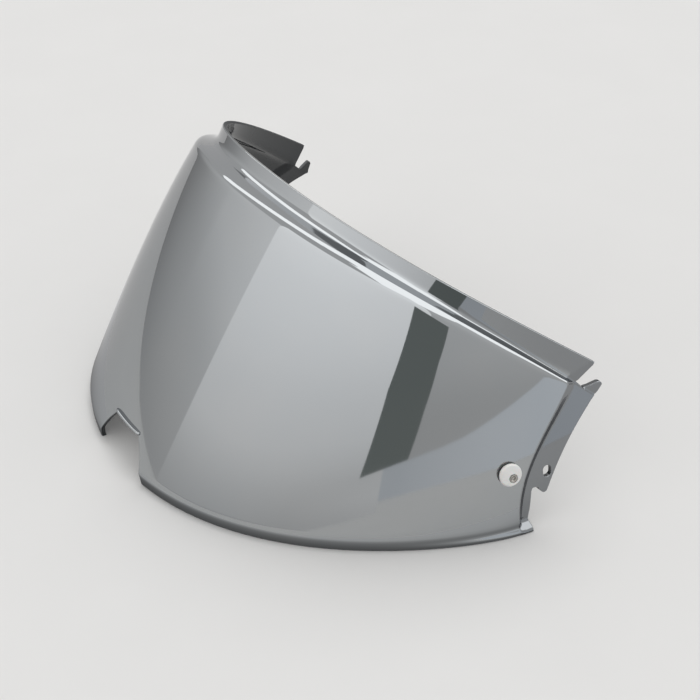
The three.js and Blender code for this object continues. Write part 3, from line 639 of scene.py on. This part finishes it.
def finish_material(name, scale, colours, roughness=None, mask="Haze", **sockets):
    """A material whose colour goes between two with the haze, and its roughness between two with
    the haze or the scuffs, at that scale. Each other socket has one value."""
    material = bpy.data.materials.new(name)
    material.use_nodes = True
    shader = material.node_tree.nodes["Principled BSDF"]
    for key, value in sockets.items():
        shader.inputs[key.replace("_", " ")].default_value = value
    worn = node(material.node_tree, "ShaderNodeGroup", {"node_tree": marks}, Scale=scale)
    between(worn.outputs["Haze"], *colours, shader.inputs["Base Color"])
    if roughness:
        between(worn.outputs[mask], *roughness, shader.inputs["Roughness"])
    return material


mirror_coat = finish_material(
    "silver mirror coat", 1, ((0.36, 0.375, 0.385), (0.38, 0.39, 0.395)), (0.035, 0.06),
    Metallic=1.0, Specular_Tint=(0.70, 0.70, 0.71, 1), Coat_Weight=0.2, Coat_Roughness=0.02,
)
coat_tree = mirror_coat.node_tree
coat_colour = coat_tree.nodes["Principled BSDF"].inputs["Base Color"]
full_coat = coat_colour.links[0].from_socket
# Painted shade: the "plate" mask turns the coat's colour a deeper grey on the plates and rim band,
# in place of darker reflections.
painted_shade_mask = node(coat_tree, "ShaderNodeAttribute", {"attribute_name": "plate"})
shade_darkened_coat = node(coat_tree, "ShaderNodeMix", {"data_type": "RGBA"})
shade_darkened_coat.inputs[7].default_value = (0.235, 0.245, 0.255, 1)
coat_tree.links.new(painted_shade_mask.outputs["Fac"], shade_darkened_coat.inputs[0])
coat_tree.links.new(full_coat, shade_darkened_coat.inputs[6])
coat_tree.links.new(shade_darkened_coat.outputs[2], coat_colour)

smoke_dye = finish_material(
    "smoke polycarbonate", 1, ((0.030, 0.033, 0.036), (0.040, 0.043, 0.045)), (0.05, 0.1),
    IOR=1.58, Specular_IOR_Level=0.3,
)

shield = mesh_object(
    "visor_shield",
    shield_points - [0, CENTRE_DEPTH, 0],
    shield_faces,
    [mirror_coat, smoke_dye],
    shield_smoke,
    shield_normals,
)
# The "plate" mask of painted shade, which darkens the coat on the plates and the rim band.
shield.data.attributes.new("plate", "FLOAT", "POINT").data.foreach_set("value", painted_coat_shade)
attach(shield, "shield")
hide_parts("shield")


# Finger lip: a short bar with round ends over the finger notch, by which the visor is pushed up.
# It is moulded in one with the shield, of the same polycarbonate, and has its mirror coat.
LIP_HALF_WIDTH, LIP_HALF_THICKNESS, LIP_OUT, LIP_ROOT, LIP_RISE = 10.8, 0.65, 1.3, 1.1, 0.8


def finger_lip(across, around):
    """Bar over the notch. across runs from side to side and around over its section: out along the
    underside, round the tip by a half circle, and back along the top, rising as it stands out. Its
    reach falls off at the ends by the root of one less the eighth power."""
    half = LIP_HALF_THICKNESS
    none = np.zeros_like(across)

    def short(share):
        """Whether the skin just above the foot roll still lies nearer the middle than the bar."""
        return skin(none + 1.12, share, none, False)[..., 0] < np.abs(across) * LIP_HALF_WIDTH

    share, _ = halving(none, none + 0.4, short, 40)

    def below(row):
        """Whether the skin at that row still lies under the bar's middle."""
        return skin(row, share, none, False)[..., 2] < NOTCH_HEIGHT + half

    row, _ = halving(none + 1, none + 1.5, below, 40)
    _, outward = plan(share, *FOOT_CURVE)
    grown = np.sqrt(np.clip(1 - across**8, 0, 1))
    tip = LIP_OUT * grown - half
    angle = np.clip(around - 1, 0, 1) * np.pi - np.pi / 2
    out_share = np.where(around < 1, around, np.where(around > 2, 3 - around, 1))
    straight = -LIP_ROOT + (np.maximum(tip, -0.8) + LIP_ROOT) * out_share
    reach = straight + half * np.cos(angle) * (out_share >= 1)
    point = skin(row, share, none, False) + outward * reach[..., None]
    point[..., 0] *= np.where(across < 0, -1, 1)
    point[..., 2] += half * np.sin(angle) + LIP_RISE * grown * out_share
    return point


across, around = np.meshgrid(
    -np.cos(np.linspace(0, np.pi, 49)),
    np.concatenate([
        np.linspace(0, 1, 6)[:-1], 1 + np.linspace(0, 1, 13), 2 + np.linspace(0, 1, 6)[1:],
    ]),
    indexing="ij",
)
rings, sides = across.shape
a, b, c, d = grid_corners(rings, sides, closed_sides=True)
end = np.arange(1, sides - 1)
lip_faces = np.concatenate([
    triangles(a, d, c, b),
    np.stack([0 * end, end, end + 1], -1),
    np.stack([0 * end, end + 1, end], -1) + (rings - 1) * sides,
])
lip_points = finger_lip(across, around).reshape(-1, 3) - [0, CENTRE_DEPTH, 0]
lip = mesh_object("finger_lip", lip_points, lip_faces, [mirror_coat])
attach(lip, "shield")


# Eccentric pins: on each side a white nylon cap over a clear silicone seal, a stainless screw off
# its middle, and behind the wall the nylon stud whose post holds the inner lens. Turning the cap
# swings the post and tightens the lens.
THROW, THROW_ANGLE = 1.7, -58
CAP_RADIUS, CAP_EDGE, CAP_FOOT, CAP_TOP = 4.75, 0.6, 1.0, 2.4
SHANK_RADIUS, BORE_RADIUS, RECESS_RADIUS = 3.3, 1.2, 1.8
SEAL_RADIUS, SEAL_FOOT, SEAL_TOP = 4.4, 0.3, 0.7
SCREW_RADIUS, SCREW_CORE, SCREW_END, SCREW_FOOT = 1.5, 0.9, -4.7, CAP_TOP - 0.7
HEXAGON_SIZE, HEXAGON_DEPTH = 0.92, 0.5
FLANGE_RADIUS, FLANGE_OUTER, FLANGE_INNER = 4.6, -2.5, -3.5
STUD_HOLLOW, NECK_RADIUS, HEAD_RADIUS = -5.0, 1.9, 2.7


def eased(corners, radius, steps=4):
    """A profile of (radius, height, throw) rows with each corner but the first and last drawn into
    a bend between the points a radius off."""
    corners = np.array(corners, float)
    before, here, after = corners[:-2], corners[1:-1], corners[2:]

    def reached(other):
        """Point on the way from each corner to another, a radius off or near halfway at most."""
        length = np.linalg.norm((other - here)[:, :2], axis=-1, keepdims=True)
        return here + (other - here) * np.minimum(radius, length / 2.2) / length

    t = np.linspace(0, 1, steps + 1)[None, :, None]
    curves = bend(reached(before)[:, None], here[:, None], reached(after)[:, None], t)
    return np.concatenate([corners[:1], curves.reshape(-1, 3), corners[-1:]])


def turned(profile, throw, closed, around_count=72):
    """Surface of a turned piece: each profile row is a ring of that radius and height, whose centre
    lies at its share of the throw from the pin's axis. Rows below zero radius are drawn as a
    hexagon of that size."""
    angle = np.linspace(0, 2 * np.pi, around_count, endpoint=False)
    radius, height, share = profile.T[:, :, None]
    from_flat = (angle + np.pi / 6) % (np.pi / 3) - np.pi / 6
    six_sided = np.abs(radius) / np.cos(from_flat) * np.cos(np.pi / 6)
    radius = np.where(radius < 0, six_sided, radius)
    points = np.stack([
        throw[0] * share + radius * np.cos(angle),
        throw[1] * share + radius * np.sin(angle),
        height + 0 * angle,
    ], -1)
    faces = triangles(*grid_corners(*points.shape[:2], closed_rows=closed, closed_sides=True))
    points = points.reshape(-1, 3)
    _, first, same = np.unique(
        np.round(points, 6), axis=0, return_index=True, return_inverse=True,
    )
    return points[first], unshrunk(same.reshape(-1)[faces])


white_nylon = finish_material(
    "white nylon", 6, ((0.84, 0.835, 0.82), (0.78, 0.77, 0.75)), (0.32, 0.5), "Scuff",
    Subsurface_Weight=0.08, Subsurface_Scale=0.002,
)
clear_silicone = finish_material(
    "clear silicone", 8, ((0.30, 0.31, 0.31), (0.24, 0.25, 0.25)), (0.4, 0.6), IOR=1.41,
)
stainless = finish_material(
    "turned stainless steel", 10, ((0.42, 0.40, 0.37), (0.34, 0.32, 0.29)), (0.22, 0.4), "Scuff",
    Metallic=1.0,
)

# Profiles run round each piece: the cap from its screw's seat over the top to its shank and back
# through the bore, the screw from its socket to its end, and the stud from its hollow to its post.
seat = SCREW_FOOT - 0.3
cap_profile = eased([
    (BORE_RADIUS, seat, 1), (RECESS_RADIUS, seat, 1), (RECESS_RADIUS, CAP_TOP, 1),
    (CAP_RADIUS - CAP_EDGE, CAP_TOP, 0), (CAP_RADIUS, CAP_TOP - CAP_EDGE, 0),
    (CAP_RADIUS, CAP_FOOT, 0), (SHANK_RADIUS, CAP_FOOT, 0), (SHANK_RADIUS, -WALL, 0),
    (BORE_RADIUS, -WALL, 1), (BORE_RADIUS, seat, 1),
], 0.18)[:-1]
seal_start = (PIN_HOLE_RADIUS, (SEAL_FOOT + SEAL_TOP) / 2, 0)
seal_profile = eased([
    seal_start, (PIN_HOLE_RADIUS, SEAL_TOP, 0), (SEAL_RADIUS, SEAL_TOP, 0),
    (SEAL_RADIUS, SEAL_FOOT, 0), (PIN_HOLE_RADIUS, SEAL_FOOT, 0), seal_start,
], 0.2)[:-1]
screw_profile = eased([
    (0, CAP_TOP - HEXAGON_DEPTH, 1), (-HEXAGON_SIZE, CAP_TOP - HEXAGON_DEPTH, 1),
    (-HEXAGON_SIZE, CAP_TOP, 1), (SCREW_RADIUS, CAP_TOP, 1), (SCREW_RADIUS, SCREW_FOOT, 1),
    (SCREW_CORE, SCREW_FOOT, 1), (SCREW_CORE, SCREW_END, 1), (0, SCREW_END, 1),
], 0.12)
stud_profile = eased([
    (0, STUD_HOLLOW, 1), (BORE_RADIUS, STUD_HOLLOW, 1), (BORE_RADIUS, FLANGE_OUTER, 1),
    (FLANGE_RADIUS, FLANGE_OUTER, 0), (FLANGE_RADIUS, FLANGE_INNER, 0),
    (NECK_RADIUS, FLANGE_INNER, 1), (NECK_RADIUS, -5.6, 1), (HEAD_RADIUS, -5.6, 1),
    (HEAD_RADIUS, -6.1, 1), (2.1, -6.7, 1), (0, -6.7, 1),
], 0.15)

for side, side_name in ((1, "left"), (-1, "right")):
    joint = pin_joints[f"pin_{side_name}_turn"]
    foot_at, outward = np.array(joint["pos_m"]) / MM, unit(np.array(joint["axis"]))
    ahead = unit(np.array([-outward[1], outward[0], 0]) * side)
    across_pin = np.cross(outward, ahead)
    angle = np.radians(THROW_ANGLE * side)
    throw = THROW * np.array([np.cos(angle), np.sin(angle)])
    for part_name, profile, closed, finish, slot in (
        ("pin_cap", cap_profile, True, white_nylon, "white_nylon"),
        ("pin_seal", seal_profile, True, clear_silicone, "clear_silicone"),
        ("pin_screw", screw_profile, False, stainless, "stainless"),
        ("pin_stud", stud_profile, False, white_nylon, "white_nylon"),
    ):
        points, faces = turned(profile, throw, closed)
        points = foot_at + points @ np.stack([ahead, across_pin, outward])
        piece = mesh_object(f"turned_{part_name}_{side_name}", points, faces[:, ::-1], [finish])
        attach(piece, f"pin_{side_name}")
        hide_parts(f"{part_name}_{side_name}")


# Stage: a pale matt table top that reaches far past the view, the room's own even light, and a
# broad soft lamp high up behind the shield.
TABLE_REACH = 9000

table_finish = finish_material(
    "pale table top", 1, ((0.765, 0.76, 0.75), (0.775, 0.77, 0.76)),
    Roughness=0.8, Specular_IOR_Level=0.1,
)
table_corners = TABLE_REACH * np.array([[-1, -1, 0], [1, -1, 0], [1, 1, 0], [-1, 1, 0]], float)
table = mesh_object("table_top", table_corners, [(0, 1, 2, 3)], [table_finish])

world = bpy.data.worlds.new("room")
bpy.context.scene.world = world
world.use_nodes = True
world.node_tree.nodes["Background"].inputs["Color"].default_value = (0.80, 0.80, 0.80, 1)
world.node_tree.nodes["Background"].inputs["Strength"].default_value = 0.92

lamp_data = bpy.data.lights.new("soft_lamp", "SUN")
lamp_data.angle, lamp_data.energy = np.radians(40), 0.9
lamp = bpy.data.objects.new("soft_lamp", lamp_data)
bpy.context.collection.objects.link(lamp)
lamp.rotation_euler = (np.radians(-18), np.radians(-22), 0)


# Painted reflections: glowing sheets, laid out as boards and a ceiling, that only reflections show
# and that neither light nor shade anything, because a mirrored shield is drawn by what stands round
# it.
# Each shines by an amount that its own points carry, painted to give the shield its reflected light
# and shade.
glow = bpy.data.materials.new("painted reflection card")
glow.use_nodes = True
glow.node_tree.nodes.clear()
shine = node(glow.node_tree, "ShaderNodeAttribute", {"attribute_name": "shine"})
emission = node(glow.node_tree, "ShaderNodeEmission")
glow_output = node(glow.node_tree, "ShaderNodeOutputMaterial")
glow.node_tree.links.new(shine.outputs["Color"], emission.inputs["Color"])
glow.node_tree.links.new(emission.outputs["Emission"], glow_output.inputs["Surface"])


def card(name, points, light, tint=(1, 1, 1)):
    """A glowing sheet over a grid of points, seen only in reflections, which shines by the amount
    given at each, times its tint: a painted reflection.
    """
    rows, sides = points.shape[:2]
    squares = np.stack(grid_corners(rows, sides), -1)
    sheet = mesh_object(name, points.reshape(-1, 3), squares, [glow])
    colour = np.ones((rows * sides, 4))
    colour[:, :3] = np.broadcast_to(light, (rows, sides)).reshape(-1, 1) * np.array(tint)
    shines = sheet.data.color_attributes.new("shine", "FLOAT_COLOR", "POINT")
    shines.data.foreach_set("color", colour.reshape(-1))
    sheet.visible_camera = sheet.visible_diffuse = False
    sheet.visible_shadow = sheet.visible_transmission = False


def upright(azimuth, distance, along, height):
    """Points of an upright plane at a distance along an azimuth, which is counted from straight
    ahead to the left: the distance that way, plus the way along, square to it, and the height."""
    azimuth = np.radians(azimuth)
    along, height = np.broadcast_arrays(along, height)
    return np.stack([
        distance * np.sin(azimuth) + along * np.cos(azimuth),
        -distance * np.cos(azimuth) + along * np.sin(azimuth),
        height + 0 * along,
    ], -1)


def around_at(azimuth, distance, height):
    """Points of an upright cylinder round the origin: sine and cosine by distance, and height."""
    azimuth, distance, height = np.broadcast_arrays(np.radians(azimuth), distance, height)
    return np.stack([distance * np.sin(azimuth), -distance * np.cos(azimuth), height], -1)


up = np.linspace(0, 1, 25)[:, None]
over = np.linspace(0, 1, 33)[None, :]


def side_edge(shares, along, height):
    """Along and height of a board's edge, straight between those at some shares of the rise."""
    return np.interp(up, shares, along), np.interp(up, shares, height)


left_edge = side_edge([0, 0.42, 0.67, 1], [0, 21, 42, 71], [34, 99, 137, 188])
right_edge = side_edge([0, 0.3, 0.65, 1], [58, 77, 103, 139], [41, 78, 118, 159])
strip_along, strip_height = (low + (high - low) * over for low, high in zip(left_edge, right_edge))
# Painted dark reflection: a dim sheet that puts a dark strip into the shield's mirror.
card(
    "dark_board",
    upright(azimuth=60, distance=250, along=strip_along, height=strip_height),
    light=0.23, tint=(0.95, 1.04, 1.0),
)

board_height = up * 420
left_along = -900 + over * 1130
left_by_height = np.interp(board_height, [0, 70, 115, 190, 290], [0.56, 0.68, 0.75, 0.96, 1.08])
left_by_along = np.interp(left_along, [-900, -400, -100, 150], [0.58, 0.72, 0.94, 1.05])
card(
    "left_board",
    upright(azimuth=-36, distance=474, along=left_along, height=board_height),
    light=left_by_height * left_by_along,
)

# The front board ends further round the higher up, and is brighter low down at that end.
FRONT_START = -15.5
front_end = np.interp(
    board_height, [38, 61, 102, 148, 204, 300], [63.9, 64.8, 68.9, 74.4, 81.7, 90],
)
front_by_height = np.interp(
    board_height, [0, 34, 60, 77, 92, 114, 150, 182, 225, 250, 300],
    [0.62, 0.80, 0.97, 1.05, 1.08, 1.14, 1.26, 1.34, 1.42, 1.50, 1.6],
)
low_at_end = np.clip(over * 3 - 2, 0, 1) * np.clip(1.5 - board_height / 24, 0, 1)
card(
    "front_board",
    around_at(FRONT_START + over * (front_end - FRONT_START), distance=330, height=board_height),
    light=front_by_height * (1 + 0.22 * low_at_end),
)

tall_height = up * 700
right_by_height = np.interp(tall_height, [0, 130, 230, 500], [0.56, 0.58, 0.68, 0.80])
card(
    "right_board",
    around_at(50 + over * 90, distance=700, height=tall_height),
    light=right_by_height * (1 + 0.15 * over),
)

low_along = -420 + over * 920
low_top = np.interp(
    low_along, [-260, -215, -137, -68, 6, 111, 244, 500], [44, 45, 49, 56, 71, 94, 121, 175],
)
card(
    "low_board",
    upright(azimuth=95, distance=450, along=low_along, height=up * low_top),
    light=np.interp(low_along, [-260, -150, 0, 300], [0.70, 0.76, 0.84, 0.90]),
    tint=(0.96, 1.0, 1.05),
)

# Painted shade in the reflection: a sheet just above the table along the foot, which only
# reflections show, darkest right under the shield's foot, standing in for the table's contact
# shadow.
SHADE_HEIGHT = 0.4
shade_reach = [-1, 2, 6, 10, 15, 21, 28, 36]
foot_share = np.linspace(-1, 1, 129)[None, :]
foot_point, foot_outward = plan(np.abs(foot_share), *FOOT_CURVE)
foot_reach = np.array(shade_reach)[:, None]
shade_side = np.stack([np.where(foot_share < 0, -1, 1), 1 + 0 * foot_share], -1)
shade_plan = (foot_point + foot_outward * foot_reach[..., None])[..., :2] * shade_side
shade_height = np.full(shade_plan.shape[:2] + (1,), SHADE_HEIGHT)
card(
    "painted_shade_under_foot",
    np.concatenate([shade_plan - [0, CENTRE_DEPTH], shade_height], -1),
    light=np.interp(foot_reach, shade_reach, [0.12, 0.22, 0.42, 0.54, 0.63, 0.69, 0.72, 0.74]),
)

# The ceiling, a glowing sheet that paints the highlights along the ridge, the groove and the edges,
# lies on a sphere, from the wearer's right round the rear to the left front, and comes down to a
# wavy edge over the horizon.
CEILING_DISTANCE, CEILING_TOP = 2000, 82
sky_low = np.interp(
    over, [0, 0.12, 0.25, 0.40, 0.54, 0.59, 0.66, 0.77, 1], [32, 34, 44, 28, 8, 24, 36, 42, 50],
)
sky_rise = np.radians(sky_low + (CEILING_TOP - sky_low) * up)
sky_azimuth = np.radians(-80 - over * 220)
sky_out = np.cos(sky_rise)
card(
    "bright_ceiling",
    CEILING_DISTANCE * np.stack([
        np.sin(sky_azimuth) * sky_out, -np.cos(sky_azimuth) * sky_out,
        np.sin(sky_rise) + 0 * sky_azimuth,
    ], -1),
    light=2.2,
)


# Camera: above the wearer's left front, looking down on the near side, with a long lens. Its
# azimuth is counted from straight ahead to the wearer's left.
AZIMUTH, ELEVATION, DISTANCE, AIM = np.radians(58.38), np.radians(33.24), 685.6, (30.15, 15.61, 40)
camera_data = bpy.data.cameras.new("camera")
camera_data.lens, camera_data.sensor_width = 82.29, 36
camera = bpy.data.objects.new("camera", camera_data)
bpy.context.collection.objects.link(camera)
back = np.array([
    np.sin(AZIMUTH) * np.cos(ELEVATION), -np.cos(AZIMUTH) * np.cos(ELEVATION), np.sin(ELEVATION),
])
camera.location = (np.array(AIM) + DISTANCE * back) * MM
camera.rotation_euler = Vector(-back).to_track_quat("-Z", "Y").to_euler()
bpy.context.scene.camera = camera
bpy.context.scene.view_settings.view_transform = "Standard"
